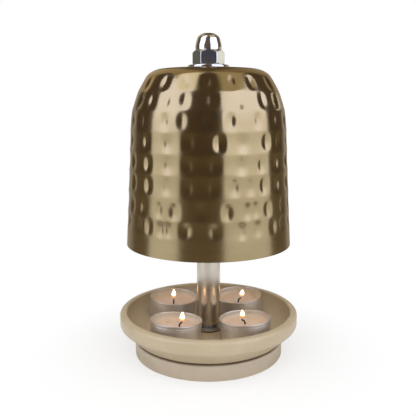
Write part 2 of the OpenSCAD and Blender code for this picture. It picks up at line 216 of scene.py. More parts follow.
def brass():
    # Hammered brass, lathe-brushed and lacquered: a warm brown metal whose struck part is bright and whose
    # plain band and crown keep the fine lines of the brush.
    made, tree, shader, here = start_material(
        "hammered_lacquered_brass", {"Metallic": 1, "Coat Weight": 0.5, "Coat Roughness": 0.18})
    # Tarnish in 25 mm clouds
    cloud = add(tree, "ShaderNodeTexNoise", {}, {"Vector": here, "Scale": 40, "Detail": 3})
    tone = add(tree, "ShaderNodeMix", {"data_type": "RGBA"}, {
        0: cloud.outputs["Fac"], 6: linear("#8c7b59"), 7: linear("#9f8f6d")})
    # Brush lines 0.15 mm apart, drawn 0.8 mm apart so that they show
    long_way = add(tree, "ShaderNodeMapping", {}, {"Vector": here, "Scale": (12, 12, 1250)})
    lines = add(tree, "ShaderNodeTexNoise", {}, {"Vector": long_way.outputs[0], "Scale": 1, "Detail": 2})
    # The band below the rows of marks and the crown above them were brushed and never struck
    height = add(tree, "ShaderNodeSeparateXYZ", {}, {0: here})
    band = add(tree, "ShaderNodeMapRange", {"interpolation_type": "SMOOTHSTEP"}, {
        "Value": height.outputs[2], "From Min": 0.098, "From Max": 0.104, "To Min": 1, "To Max": 0})
    crown = add(tree, "ShaderNodeMapRange", {"interpolation_type": "SMOOTHSTEP"}, {
        "Value": height.outputs[2], "From Min": 0.209, "From Max": 0.213, "To Min": 0, "To Max": 1})
    plain = add(tree, "ShaderNodeMath", {"operation": "ADD"}, {0: band.outputs[0], 1: crown.outputs[0]})
    brushed = add(tree, "ShaderNodeMapRange", {}, {
        "Value": lines.outputs["Fac"], "From Min": 0.3, "From Max": 0.7, "To Min": 0.2, "To Max": 0.27})
    # The lower rows were polished less
    struck = add(tree, "ShaderNodeMapRange", {"interpolation_type": "SMOOTHSTEP"}, {
        "Value": height.outputs[2], "From Min": 0.105, "From Max": 0.155, "To Min": 0.24, "To Max": 0.17})
    rough = add(tree, "ShaderNodeMix", {}, {0: plain.outputs[0], 2: struck.outputs[0], 3: brushed.outputs[0]})
    relief = add(tree, "ShaderNodeMapRange", {}, {
        "Value": plain.outputs[0], "To Min": 0.05, "To Max": 0.12})
    bump = add(tree, "ShaderNodeBump", {}, {
        "Height": lines.outputs["Fac"], "Strength": relief.outputs[0], "Distance": 0.0001})
    dress(tree, shader, tone, rough, bump)
    return made


def polished_steel():
    # Nickel-plated steel, polished: a mirror with a faint haze from handling.
    made, tree, shader, here = start_material("polished_plated_steel", {"Metallic": 1})
    # Fingermarks and polishing haze about 6 mm across
    haze = add(tree, "ShaderNodeTexNoise", {}, {"Vector": here, "Scale": 160, "Detail": 4})
    rough = add(tree, "ShaderNodeMapRange", {}, {
        "Value": haze.outputs["Fac"], "From Min": 0.35, "From Max": 0.7, "To Min": 0.07, "To Max": 0.15})
    tone = add(tree, "ShaderNodeMix", {"data_type": "RGBA"}, {
        0: haze.outputs["Fac"], 6: linear("#c2c6cb"), 7: linear("#d9dbde")})
    dress(tree, shader, tone, rough)
    return made


def lined_steel(name, dark, light, rough_low, rough_high, depth):
    # Steel turned or drawn and then brushed round: grey metal whose fine lines blur what it mirrors.
    made, tree, shader, here = start_material(name, {"Metallic": 1})
    # Lines 0.1 mm apart, drawn 0.6 mm apart so that they show, and stains 14 mm across
    long_way = add(tree, "ShaderNodeMapping", {}, {"Vector": here, "Scale": (15, 15, 1650)})
    lines = add(tree, "ShaderNodeTexNoise", {}, {"Vector": long_way.outputs[0], "Scale": 1, "Detail": 2})
    stain = add(tree, "ShaderNodeTexNoise", {}, {"Vector": here, "Scale": 70, "Detail": 4})
    tone = add(tree, "ShaderNodeMix", {"data_type": "RGBA"}, {
        0: stain.outputs["Fac"], 6: linear(dark), 7: linear(light)})
    rough = add(tree, "ShaderNodeMapRange", {}, {
        "Value": lines.outputs["Fac"], "From Min": 0.3, "From Max": 0.7,
        "To Min": rough_low, "To Max": rough_high})
    bump = add(tree, "ShaderNodeBump", {}, {
        "Height": lines.outputs["Fac"], "Strength": depth, "Distance": 0.0001})
    dress(tree, shader, tone, rough, bump)
    return made


def stoneware(name, dark, light):
    # Stoneware with a matt glaze: beige, softly mottled, with a fine pitted skin and a low sheen.
    made, tree, shader, here = start_material(
        name, {"IOR": 1.5, "Coat Weight": 0.15, "Coat Roughness": 0.35})
    # Mottling 12 mm across, and grains of the clay 0.5 mm across, drawn at 1 mm
    mottle = add(tree, "ShaderNodeTexNoise", {}, {"Vector": here, "Scale": 85, "Detail": 3})
    grain = add(tree, "ShaderNodeTexNoise", {}, {"Vector": here, "Scale": 1000, "Detail": 2})
    tone = add(tree, "ShaderNodeMix", {"data_type": "RGBA"}, {
        0: mottle.outputs["Fac"], 6: linear(dark), 7: linear(light)})
    speck = add(tree, "ShaderNodeMapRange", {}, {
        "Value": grain.outputs["Fac"], "From Min": 0.62, "From Max": 0.75, "To Min": 0, "To Max": 0.25})
    speckled = add(tree, "ShaderNodeMix", {"data_type": "RGBA"}, {
        0: speck.outputs[0], 6: tone.outputs[2], 7: linear("#8a7656")})
    # Painted shade: dark brown in the crease between the foot and the dish, where they shadow each other
    height = add(tree, "ShaderNodeSeparateXYZ", {}, {0: here})
    above = add(tree, "ShaderNodeMapRange", {"interpolation_type": "SMOOTHSTEP"}, {
        "Value": height.outputs[2], "From Min": 0.0112, "From Max": 0.0121, "To Min": 0, "To Max": 0.8})
    below = add(tree, "ShaderNodeMapRange", {"interpolation_type": "SMOOTHSTEP"}, {
        "Value": height.outputs[2], "From Min": 0.0131, "From Max": 0.0136, "To Min": 1, "To Max": 0})
    crease_shade = add(tree, "ShaderNodeMath", {"operation": "MULTIPLY"}, {
        0: above.outputs[0], 1: below.outputs[0]})
    shaded_crease = add(tree, "ShaderNodeMix", {"data_type": "RGBA"}, {
        0: crease_shade.outputs[0], 6: speckled.outputs[2], 7: linear("#6b573f")})
    # Rings left by throwing, 3 mm apart
    along = add(tree, "ShaderNodeMapping", {}, {"Vector": here, "Scale": (10, 10, 330)})
    rings = add(tree, "ShaderNodeTexNoise", {}, {"Vector": along.outputs[0], "Scale": 1, "Detail": 1})
    both = add(tree, "ShaderNodeMath", {"operation": "ADD"}, {
        0: rings.outputs["Fac"], 1: grain.outputs["Fac"]})
    bump = add(tree, "ShaderNodeBump", {}, {"Height": both.outputs[0], "Strength": 0.2, "Distance": 0.0002})
    rough = add(tree, "ShaderNodeMapRange", {}, {
        "Value": mottle.outputs["Fac"], "From Min": 0.3, "From Max": 0.7, "To Min": 0.38, "To Max": 0.52})
    dress(tree, shader, shaded_crease, rough, bump)
    return made


def foil():
    # Deep-drawn aluminium foil: satin grey, with faint upright draw marks and small dents.
    made, tree, shader, here = start_material("drawn_aluminium_foil", {"Metallic": 1})
    # Draw marks 0.8 mm apart, and dents 5 mm across and 2.5 times as deep
    upright = add(tree, "ShaderNodeMapping", {}, {"Vector": here, "Scale": (1250, 1250, 45)})
    marks = add(tree, "ShaderNodeTexNoise", {}, {"Vector": upright.outputs[0], "Scale": 1, "Detail": 2})
    dents = add(tree, "ShaderNodeTexNoise", {}, {"Vector": here, "Scale": 200, "Detail": 2})
    both = add(tree, "ShaderNodeMath", {"operation": "MULTIPLY_ADD"}, {
        0: dents.outputs["Fac"], 1: 2.5, 2: marks.outputs["Fac"]})
    bump = add(tree, "ShaderNodeBump", {}, {"Height": both.outputs[0], "Strength": 0.35, "Distance": 0.0002})
    tone = add(tree, "ShaderNodeMix", {"data_type": "RGBA"}, {
        0: dents.outputs["Fac"], 6: linear("#dad3c8"), 7: linear("#ebe6dd")})
    rough = add(tree, "ShaderNodeMapRange", {}, {
        "Value": marks.outputs["Fac"], "From Min": 0.3, "From Max": 0.7, "To Min": 0.42, "To Max": 0.52})
    dress(tree, shader, tone, rough, bump)
    return made


def paraffin():
    # Paraffin wax, half melted: pinkish beige and a little translucent, glossy where it is liquid.
    made, tree, shader, here = start_material("paraffin_wax", {
        "IOR": 1.43, "Subsurface Weight": 0.6, "Subsurface Radius": (1.0, 0.6, 0.4),
        "Subsurface Scale": 0.003, "Coat Weight": 0.3, "Coat Roughness": 0.1})
    # Clouds 7 mm across where the wax is half set
    cloud = add(tree, "ShaderNodeTexNoise", {}, {"Vector": here, "Scale": 140, "Detail": 3})
    tone = add(tree, "ShaderNodeMix", {"data_type": "RGBA"}, {
        0: cloud.outputs["Fac"], 6: linear("#d8bfa8"), 7: linear("#e6d3c2")})
    rough = add(tree, "ShaderNodeMapRange", {}, {
        "Value": cloud.outputs["Fac"], "From Min": 0.3, "From Max": 0.7, "To Min": 0.25, "To Max": 0.45})
    bump = add(tree, "ShaderNodeBump", {}, {
        "Height": cloud.outputs["Fac"], "Strength": 0.3, "Distance": 0.0003})
    dress(tree, shader, tone, rough, bump)
    return made


def charred_cotton():
    # Braided cotton wick, burnt: matt black brown with the braid still showing.
    made, tree, shader, here = start_material("charred_cotton", {"Roughness": 0.9})
    # Braid 0.5 mm across
    braid = add(tree, "ShaderNodeTexNoise", {}, {"Vector": here, "Scale": 2000, "Detail": 2})
    tone = add(tree, "ShaderNodeMix", {"data_type": "RGBA"}, {
        0: braid.outputs["Fac"], 6: linear("#17100c"), 7: linear("#3a2a20")})
    bump = add(tree, "ShaderNodeBump", {}, {
        "Height": braid.outputs["Fac"], "Strength": 0.6, "Distance": 0.0002})
    dress(tree, shader, tone, bump=bump)
    return made


def gasket_rubber():
    # Die-cut rubber sheet: matt dark brown with a fine grain.
    made, tree, shader, here = start_material("rubber_sheet", {"Roughness": 0.75})
    # Grain 0.4 mm across
    grain = add(tree, "ShaderNodeTexNoise", {}, {"Vector": here, "Scale": 2500, "Detail": 1})
    tone = add(tree, "ShaderNodeMix", {"data_type": "RGBA"}, {
        0: grain.outputs["Fac"], 6: linear("#382c25"), 7: linear("#463a30")})
    bump = add(tree, "ShaderNodeBump", {}, {
        "Height": grain.outputs["Fac"], "Strength": 0.3, "Distance": 0.0001})
    dress(tree, shader, tone, bump=bump)
    return made


def candle_flame(name, alpha, foot_colour, body_colour, strength):
    # A candle's flame: orange at its foot and white hot above, which lights the wax and the tube, in a thin
    # orange veil.
    made, tree, shader, _ = start_material(name, {
        "Base Color": (0, 0, 0, 1), "Specular IOR Level": 0, "Roughness": 1, "Emission Strength": strength,
        "Alpha": alpha})
    upright = add(tree, "ShaderNodeUVMap", {"uv_map": "flame_height"}, {})
    height = add(tree, "ShaderNodeSeparateXYZ", {}, {0: upright.outputs[0]})
    hot = add(tree, "ShaderNodeMapRange", {}, {
        "Value": height.outputs[1], "From Min": 0.12, "From Max": 0.5, "To Min": 0, "To Max": 1})
    tone = add(tree, "ShaderNodeMix", {"data_type": "RGBA"}, {
        0: hot.outputs[0], 6: linear(foot_colour), 7: linear(body_colour)})
    tree.links.new(tone.outputs[2], shader.inputs["Emission Color"])
    return made


BRASS = brass()
POLISHED = polished_steel()
ZINC = lined_steel("zinc_plated_steel", "#b4b9be", "#cdd1d4", 0.22, 0.32, 0.15)
TUBE_STEEL = lined_steel("satin_stainless_tube", "#c0b9ae", "#d3ccc1", 0.2, 0.28, 0.12)
INNER_STEEL = lined_steel("brushed_steel_sheet", "#8d877e", "#a49e95", 0.32, 0.45, 0.3)
ROD_STEEL = lined_steel("rolled_thread_steel", "#9c9ea0", "#b0b2b4", 0.3, 0.4, 0.1)
TIN = lined_steel("tinned_steel", "#9a9a98", "#b0b0ae", 0.35, 0.45, 0.1)
DISH_GLAZE = stoneware("dish_stoneware", "#b4a284", "#c3b396")
FOOT_GLAZE = stoneware("foot_stoneware", "#b8a994", "#c8baa5")
FOIL = foil()
WAX = paraffin()
CHAR = charred_cotton()
RUBBER = gasket_rubber()
FLAME = candle_flame("candle_flame_core", 1, "#50301c", "#ffce95", 19)
FLAME_VEIL = candle_flame("candle_flame_veil", 0.45, "#f08a38", "#ffd9a0", 2.2)


# Foot and dish.

FOOT_R, HOLLOW_R, CREASE_R, DISH_R = radius_of("foot"), 49, 53.5, radius_of("dish")
finish_piece(
    turned([(FOOT_R, 0, 1), (FOOT_R, 11.4, 1.2), (CREASE_R, FOOT_TOP), (HOLE_R, FOOT_TOP),
            (HOLE_R, FOOT_SEAT), (HOLLOW_R, FOOT_SEAT, 1), (HOLLOW_R, 0, 1)], steps=144),
    "stoneware_foot", "stand", FOOT_GLAZE, ["foot"])

# The dish's flat floor goes over into its wall in a cove, drawn from its upper end down
FLOOR_R, COVE_R, COVE_ANGLE, COVE_STEPS = 47.6, 15.4, 82.5, 22
COVE = [(FLOOR_R + COVE_R * math.sin(math.radians(a)), DISH_SEAT + COVE_R * (1 - math.cos(math.radians(a))))
        for a in (COVE_ANGLE * i / COVE_STEPS for i in range(COVE_STEPS, -1, -1))]
finish_piece(
    turned([(HOLE_R, FOOT_TOP), (CREASE_R, FOOT_TOP), (FOOT_R, 13.5, 0.5), (DISH_R, 24, 3),
            (DISH_R, 33.4, 2.4), (63, 34.2, 1.4), *COVE, (HOLE_R, DISH_SEAT)], steps=180),
    "stoneware_dish", "stand", DISH_GLAZE, ["dish"])


# The stack on the rod.

# Washers, rings and tubes as wide and as high as their nodes, with their bore and their edges' rounding
for name, body, node, slot, material, bore_r, edge in (
        ("foot_rubber_ring", "stand", "foot_gasket", "gasket", RUBBER, HOLE_R, 0.1),
        ("wide_foot_washer", "stand", "foot_washer", "zinc_steel", ZINC, HOLE_R, 0.4),
        ("dish_rubber_ring", "stand", "dish_gasket", "gasket", RUBBER, HOLE_R, 0.1),
        ("tube_seat_washer", "stand", "dish_washer", "zinc_steel", ZINC, HOLE_R, 0.4),
        ("satin_tube", "stand", "tube", "tube_steel", TUBE_STEEL, TUBE_BORE_R, 0.25),
        ("inner_bell_seat_washer", "stand", "lower_bell_washer", "zinc_steel", ZINC, HOLE_R, 0.4),
        ("inner_bell_top_washer", "bell", "upper_bell_washer", "zinc_steel", ZINC, HOLE_R, 0.4),
        ("spacer_sleeve", "bell", "sleeve", "tube_steel", TUBE_STEEL, TUBE_BORE_R, 0.25),
        ("outer_bell_seat_washer", "bell", "bell_support_washer", "zinc_steel", ZINC, HOLE_R, 0.4),
        ("polished_washer", "top_washer", "top_washer", "polished_steel", POLISHED, HOLE_R, 0.8)):
    finish_piece(ring(radius_of(node), bore_r, foot_of(node), top_of(node), edge), name, body, material,
                 [node])

FOOT_NUT_ACROSS, FOOT_NUT_BOTTOM, FOOT_NUT_TOP = 19, foot_of("foot_nut"), top_of("foot_nut")
foot_nut = turned([*hexagon_rows(FOOT_NUT_ACROSS / 2, FOOT_NUT_BOTTOM, FOOT_NUT_TOP, 0.9),
                   (NUT_BORE_R, FOOT_NUT_BOTTOM), (NUT_BORE_R, FOOT_NUT_TOP)], steps=192)
pull_to_hexagon(foot_nut, FOOT_NUT_ACROSS, FOOT_NUT_BOTTOM, FOOT_NUT_TOP, 30, 30)
finish_piece(foot_nut, "foot_hexagon_nut", "stand", ZINC, ["foot_nut"], sharp=50)


def thread(bottom, top, crest_r, root_r, pitch, steps=24):
    """A threaded rod: one turn of its outline is doubled up the rod, whose ends are cut flat and closed."""
    bm = bmesh.new()
    draw_outline(bm, [(root_r, 0), (root_r, 0.2 * pitch), (crest_r, 0.55 * pitch), (crest_r, 0.65 * pitch),
                      (root_r, pitch)], False, 1)
    bmesh.ops.spin(
        bm, geom=bm.verts[:] + bm.edges[:], cent=(0, 0, 0), axis=(0, 0, 1), dvec=(0, 0, pitch / steps),
        angle=math.tau, steps=steps, use_merge=False, use_duplicate=False)
    turns = 1
    while turns * pitch < top - bottom + 3 * pitch:
        copied = bmesh.ops.duplicate(bm, geom=bm.verts[:] + bm.edges[:] + bm.faces[:])["geom"]
        bmesh.ops.translate(bm, vec=(0, 0, turns * pitch),
                            verts=[part for part in copied if isinstance(part, bmesh.types.BMVert)])
        turns *= 2
    bmesh.ops.translate(bm, vec=(0, 0, bottom - 1.5 * pitch), verts=bm.verts[:])
    bmesh.ops.remove_doubles(bm, verts=bm.verts[:], dist=0.01)
    for height, up in ((bottom, -1), (top, 1)):
        cut = bmesh.ops.bisect_plane(
            bm, geom=bm.verts[:] + bm.edges[:] + bm.faces[:], plane_co=(0, 0, height),
            plane_no=(0, 0, up), clear_outer=True)
        rim = [edge for edge in cut["geom_cut"] if isinstance(edge, bmesh.types.BMEdge)]
        bmesh.ops.contextual_create(bm, geom=rim)
    bmesh.ops.recalc_face_normals(bm, faces=bm.faces[:])
    return bm


THREAD_ROOT_R, THREAD_PITCH = 5, 1.75
rod = thread(foot_of("threaded_rod"), top_of("threaded_rod"), radius_of("threaded_rod"), THREAD_ROOT_R,
             THREAD_PITCH)
finish_piece(rod, "threaded_steel_rod", "stand", ROD_STEEL, ["threaded_rod"], sharp=30)


# Bells.

INNER_BELL_RIM, INNER_BELL_WALL = 95.5, 1.0
inner_bell = bmesh.new()
draw_outline(inner_bell, [(radius_of("inner_bell"), INNER_BELL_RIM), (40, INNER_BELL_TOP, 14),
                          (HOLE_R, INNER_BELL_TOP)], False, 10)
divide_line(inner_bell, 6)
spin_round(inner_bell, 120)
bmesh.ops.solidify(inner_bell, geom=inner_bell.faces[:], thickness=INNER_BELL_WALL)
finish_piece(inner_bell, "brushed_inner_bell", "bell", INNER_STEEL, ["inner_bell"])

# The rows of hammer marks that the photograph shows: height, then how far each mark lies across
HAMMER_ROWS = (
    (205.0, (-44, -32, -17, -1, 17, 31, 44)),
    (193.0, (-50, -42, -31, -18, 2, 23.5, 40, 49)),
    (179.6, (-50, -33, -20, -1, 17, 37, 49)),
    (165.0, (-57, -47, -31, -14, 8, 26, 43, 52)),
    (150.7, (-56, -46, -31, -15, 4, 25, 40, 51)),
    (136.0, (-56, -46, -32, -15, 3, 20, 32, 42, 52)),
    (120.0, (-50, -38, -27, -6, 15, 30, 36, 45)),
    (107.4, (-53, -46, -37, -31, -17, 4, 26, 38, 50, 56)),
)
# Ridges that the hammer leaves above and below each row, and how deep a row lies between them
RIDGES = (211, 199, 186.3, 172.7, 157.5, 143.8, 128.5, 113.6, 101)
ROW_DEPTH = 0.2
# Marks: spacing round the back, ranges of half their width and height, and depth, also of the lighter ones
MARK_PITCH = 17
MARK_HALF_WIDTH, MARK_HALF_HEIGHT = (5.8, 6.6), (6.8, 7.4)
MARK_DEPTH, LIGHT_MARK_DEPTH = 1.3, 0.8
# How far from its centre a mark is looked for
MARK_REACH = 9.8
# How softly the groove in the middle of a mark is rounded
GROOVE_ROUNDING = 0.03
BELL_STEPS = 360


def azimuth(across, radius):
    """Where the camera's line of sight, so far across the lamp's axis, meets a circle round the axis."""
    across = max(-0.99 * radius, min(0.99 * radius, across))
    length = CAMERA_BACK ** 2 + across ** 2
    root = CAMERA_BACK ** 4 - length * (CAMERA_BACK ** 2 - radius ** 2)
    reach = (CAMERA_BACK ** 2 - math.sqrt(max(0, root))) / length
    return math.atan2(across * reach, CAMERA_BACK * (1 - reach))


def hammer_marks(outline):
    """Centre, angle, half width, half height and depth of every mark, the unseen back rows filled in."""
    chance = random.Random(7)
    marks = []
    for height, across_list in HAMMER_ROWS:
        radius = min(outline, key=lambda point: abs(point[1] - height))[0]
        angles = [azimuth(across, radius) for across in across_list]
        back = math.tau + angles[0] - angles[-1]
        count = round(back * radius / MARK_PITCH)
        angles += [angles[-1] + back * (i + chance.uniform(-0.15, 0.15)) / count for i in range(1, count)]
        for angle in angles:
            # The blows in front, above the lowest row, were lighter
            depth = LIGHT_MARK_DEPTH if -0.35 < angle < 0.1 and height > 115 else MARK_DEPTH
            centre = Vector((
                radius * math.sin(angle), -radius * math.cos(angle), height + chance.uniform(-0.6, 0.6)))
            marks.append((
                centre, angle, chance.uniform(*MARK_HALF_WIDTH), chance.uniform(*MARK_HALF_HEIGHT),
                depth * chance.uniform(0.85, 1.15)))
    return marks


def ridge_heights(angle):
    """Heights of the wavering ridges at an angle round the bell."""
    x, y = 2.6 * math.cos(angle), 2.6 * math.sin(angle)
    return [ridge + 0.9 * noise.noise(Vector((x, y, 5.3 * i))) for i, ridge in enumerate(RIDGES)]


def row_hollow(heights, z):
    """Depth of the shallow hollow that a row of blows makes between two of the ridges."""
    for high, low in zip(heights, heights[1:]):
        if low < z < high:
            share = (2 * z - high - low) / (high - low)
            return ROW_DEPTH * (1 - share * share) ** 1.5
    return 0


def moved_in(corners, wall):
    """The same line of corners, one sheet's thickness further in."""
    moved = []
    sides = [(Vector(b[:2]) - Vector(a[:2])).normalized() for a, b in zip(corners, corners[1:])]
    inwards = [Vector((-side.y, side.x)) for side in sides]
    for i, corner in enumerate(corners):
        before, after = inwards[max(i - 1, 0)], inwards[min(i, len(sides) - 1)]
        here = Vector(corner[:2]) + (before + after) * wall / (1 + before.dot(after))
        moved.append((here.x, here.y, corner[2] - wall) if len(corner) > 2 else (here.x, here.y))
    return moved


BELL_RIM, BELL_WALL = 87, 1.2
BELL_LINE = [(radius_of("outer_bell"), BELL_RIM), (56.1, 195.1, 58), (41.6, 215.1, 13), (16, BELL_TOP),
             (HOLE_R, BELL_TOP)]
outer_bell = bmesh.new()
draw_outline(outer_bell, BELL_LINE, False, 14)
# Fine where it is struck
divide_line(outer_bell, 0.85, 99, 213.5)
divide_line(outer_bell, 2.5)
BELL_OUTLINE = [(v.co.x, v.co.z) for v in outer_bell.verts]
inside = bmesh.new()
draw_outline(inside, moved_in(BELL_LINE, BELL_WALL), False, 8)
divide_line(inside, 2.4)
lining = bpy.data.meshes.new("bell_lining")
inside.to_mesh(lining)
inside.free()
outer_bell.from_mesh(lining)
bpy.data.meshes.remove(lining)
for height in (BELL_RIM, BELL_TOP):
    ends = [v for v in outer_bell.verts if len(v.link_edges) == 1 and abs(v.co.z - height) < 2]
    outer_bell.edges.new(ends)
spin_round(outer_bell, BELL_STEPS)

RIDGES_ROUND = [ridge_heights(math.tau * step / BELL_STEPS) for step in range(BELL_STEPS)]
MARKS = hammer_marks(BELL_OUTLINE)
nearby = kdtree.KDTree(len(MARKS))
for index, mark in enumerate(MARKS):
    nearby.insert(mark[0], index)
nearby.balance()
outer_bell.normal_update()
for v in outer_bell.verts:
    deepest = 0
    for _, index, distance in nearby.find_range(v.co, MARK_REACH):
        centre, angle, half_width, half_height, depth = MARKS[index]
        around = (v.co - centre).dot(Vector((math.cos(angle), math.sin(angle), 0)))
        upright = math.sqrt(max(0, distance ** 2 - around ** 2))
        # The hammer's nose was wedge-shaped: each mark is an upright groove with soft ends
        aside = math.sqrt((around / half_width) ** 2 + GROOVE_ROUNDING)
        along = upright / half_height
        if aside < 1 and along < 1:
            deepest = max(deepest, depth * (1 - aside) ** 1.9 * (1 - along * along) ** 1.5)
    step = round(math.atan2(v.co.y, v.co.x) / math.tau * BELL_STEPS) % BELL_STEPS
    sunk = deepest + row_hollow(RIDGES_ROUND[step], v.co.z)
    outwards = v.normal.x * v.co.x + v.normal.y * v.co.y + 0.3 * v.normal.z * v.co.z > 0
    v.co += v.normal * (-sunk if outwards else sunk)
finish_piece(outer_bell, "hammered_bell", "bell", BRASS, ["outer_bell"], sharp=60)

CAP_NUT_ACROSS, CAP_HEXAGON_TOP = 20.3, 228.7
cap_nut = turned([
    (0, top_of("cap_nut")), (4.2, 240.7, 5), (7.9, 238.4, 3.5), (9.45, 232.7, 10), (9.45, 229.3),
    (9.0, 229.0), (9.45, CAP_HEXAGON_TOP),
    *hexagon_rows(CAP_NUT_ACROSS / 2, NUT_SEAT, CAP_HEXAGON_TOP, 1.6),
    (NUT_BORE_R, NUT_SEAT), (NUT_BORE_R, 233.25), (0, 236.25)
], steps=240, closed=False)
# It stands turned by 2 degrees, as in the photograph
pull_to_hexagon(cap_nut, CAP_NUT_ACROSS, NUT_SEAT, CAP_HEXAGON_TOP, 30, 45, turn=2)
finish_piece(cap_nut, "domed_cap_nut", "cap_nut", POLISHED, ["cap_nut"], sharp=50)


# Tealights.

def stand_tealight(angle, out, lean):
    """Where a tealight stands: out from the axis, its outer edge a little up on the dish's cove."""
    # It leans over the inner edge of its flat bottom, 0.2 mm above the dish
    bottom_r = 16.8
    turn = Matrix.Rotation(math.radians(angle), 4, "Z")
    return (turn @ Matrix.Translation((out - bottom_r, 0, DISH_SEAT + 0.2))
            @ Matrix.Rotation(math.radians(-lean), 4, "Y") @ Matrix.Translation((bottom_r, 0, 0))
            @ turn.inverted())


def wax_top(bm, seed):
    """Lowers the melted pool a little inside an uneven shore."""
    for v in bm.verts:
        radius = math.hypot(v.co.x, v.co.y)
        if v.co.z < WAX_LEVEL - 0.5 or radius > 18:
            continue
        shore = 15.3 + 1.3 * noise.noise(Vector((v.co.x / 9, v.co.y / 9, seed)))
        melted = max(0, min(1, (shore - radius) / 0.8))
        v.co.z -= 0.3 * melted * melted * (3 - 2 * melted)


def follow_wick(bm, drift):
    """Moves the wax round the wick to where the wick has drifted, and leaves the wax at the wall."""
    for v in bm.verts:
        stays = max(0, min(1, (math.hypot(v.co.x, v.co.y) - 7) / 10.4))
        v.co.x += drift[0] * (1 - stays)
        v.co.y += drift[1] * (1 - stays)


def wick(bend):
    """A wick upright through the wax, and then bent over by its flame, with a thicker burnt end."""
    foot_z, bend_r, steps = 0.65, 2.6, 8
    bm = bmesh.new()
    disc = bmesh.ops.create_circle(bm, segments=14, radius=0.53, cap_ends=True)["verts"]
    bmesh.ops.translate(bm, vec=(0, 0, foot_z), verts=disc)
    face = bm.faces[:]
    bend_z = WAX_LEVEL + (0.6 if bend else 3.8)
    for _ in range(steps):
        grown = bmesh.ops.extrude_face_region(bm, geom=face)["geom"]
        bmesh.ops.translate(bm, vec=(0, 0, (bend_z - foot_z) / steps),
                            verts=[part for part in grown if isinstance(part, bmesh.types.BMVert)])
        face = [part for part in grown if isinstance(part, bmesh.types.BMFace)]
    if bend:
        side = math.copysign(1, bend)
        spun = bmesh.ops.spin(
            bm, geom=face, cent=(bend_r * side, 0, bend_z), axis=(0, side, 0), dvec=(0, 0, 0),
            angle=math.radians(abs(bend)), steps=steps, use_merge=False, use_duplicate=False)["geom_last"]
        face = [part for part in spun if isinstance(part, bmesh.types.BMFace)]
    tip = face[0].calc_center_median()
    bmesh.ops.recalc_face_normals(bm, faces=bm.faces[:])
    # Swollen and crumbling above the wax
    for v in bm.verts:
        if v.co.z > WAX_LEVEL + 0.2:
            v.co += v.normal * (0.05 + 0.12 * noise.noise(v.co * 1.7))
    return bm, tip


def flame(foot, height, half_width, lean):
    """A pointed flame, widest low down, with how high each point lies in it kept in a UV map."""
    shape = ((0, 0), (0.5, 0.03), (0.88, 0.12), (1, 0.25), (0.96, 0.38), (0.82, 0.52), (0.62, 0.67),
             (0.4, 0.81), (0.2, 0.92), (0, 1))
    bm = turned([(half_width * share, height * rise) for share, rise in shape], steps=24, closed=False)
    layer = bm.loops.layers.uv.new("flame_height")
    for face in bm.faces:
        for loop in face.loops:
            loop[layer].uv = (0.5, loop.vert.co.z / height)
    for v in bm.verts:
        v.co.x += lean * (v.co.z / height) ** 2
    bmesh.ops.translate(bm, vec=foot, verts=bm.verts[:])
    return bm


WAX_LEVEL = 10.5
TEALIGHTS = (
    # Name, compass angle, distance from the axis, lean, bend of the wick towards +X, drift of the wick, and
    # its flame: step aside from the wick's tip, step up, height, half width and lean towards +X
    ("front_left", -129.7, 38.25, 4.27, 80, (2.5, 0), (-0.3, 1.1, 6.9, 2.0, 0.0)),
    ("front_right", -42.3, 37.4, 3.36, -90, (0, 1.5), (1.0, 2.0, 5.7, 1.9, -0.2)),
    ("back_left", 139.8, 38.25, 4.27, 0, (0, -2.5), (-0.3, 1.5, 7.0, 1.8, 0.1)),
    ("back_right", 48.8, 38.25, 4.27, 90, (0, -2.5), (0.6, 1.8, 5.6, 2.0, 0.7)),
)
for seed, (spot, angle, out, lean, bend, drift, fire) in enumerate(TEALIGHTS):
    place = stand_tealight(angle, out, lean)
    place_wick = place @ Matrix.Translation((*drift, 0))
    body = "tealight_" + spot
    # Two ribs are rolled into the wall below the rim
    cup = turned([(0, 0), (18.8, 0, 1.8), (18.78, 11.0), (18.86, 11.6, 0.4), (18.76, 12.3, 0.4),
                  (18.85, 13.1, 0.4), (18.74, 13.9, 0.4), (18.75, 14.7), (19.25, 15.1, 0.3),
                  (19.25, 16, 0.45), (18.45, 16, 0.3), (18.5, 0.3, 1.6), (0, 0.3)],
                 steps=96, closed=False, segments=4)
    finish_piece(cup, "foil_cup_" + spot, body, FOIL, ["cup_" + spot], place)

    wax = bmesh.new()
    # The pool runs up into a thin film of wax, which is left on the cup's wall
    draw_outline(wax, [(6.55, 0.35), (18.42, 0.35, 2), (18.4, 15.2), (18.3, 15.2), (18.1, 14.4),
                       (18.0, WAX_LEVEL, 3.2), (0.6, WAX_LEVEL), (0.6, 3.7), (0.95, 3.7), (0.95, 0.7),
                       (6.55, 0.7)], True, 6)
    divide_line(wax, 0.6, WAX_LEVEL - 0.1, WAX_LEVEL + 0.1)
    spin_round(wax, 96)
    wax_top(wax, 3.7 * seed)
    follow_wick(wax, drift)
    finish_piece(wax, "wax_pool_" + spot, body, WAX, ["wax_" + spot], place, sharp=70)

    holder = turned([(0, 0.3), (6.5, 0.3), (6.5, 0.6), (0.88, 0.6), (0.88, 3.6), (0.58, 3.6), (0.58, 0.6),
                     (0, 0.6)], steps=48, closed=False)
    finish_piece(holder, "wick_tin_" + spot, body, TIN, ["wick_holder_" + spot], place_wick)

    burnt, tip = wick(bend)
    finish_piece(burnt, "burnt_wick_" + spot, body, CHAR, ["wick_" + spot], place_wick, sharp=180)
    aside, up, height, half_width, flame_lean = fire
    foot = tip + Vector((aside, 0, up))
    for layer_name, rise, share, paint in (("core", 0.12, 0.8, FLAME), ("veil", 0, 1, FLAME_VEIL)):
        shell = flame(foot + Vector((0, 0, rise * height)), height * (1 - 1.3 * rise), half_width * share,
                      flame_lean * share)
        finish_piece(shell, f"flame_{layer_name}_{spot}", body, paint, (), place_wick, sharp=180)


# Floor, light and camera.

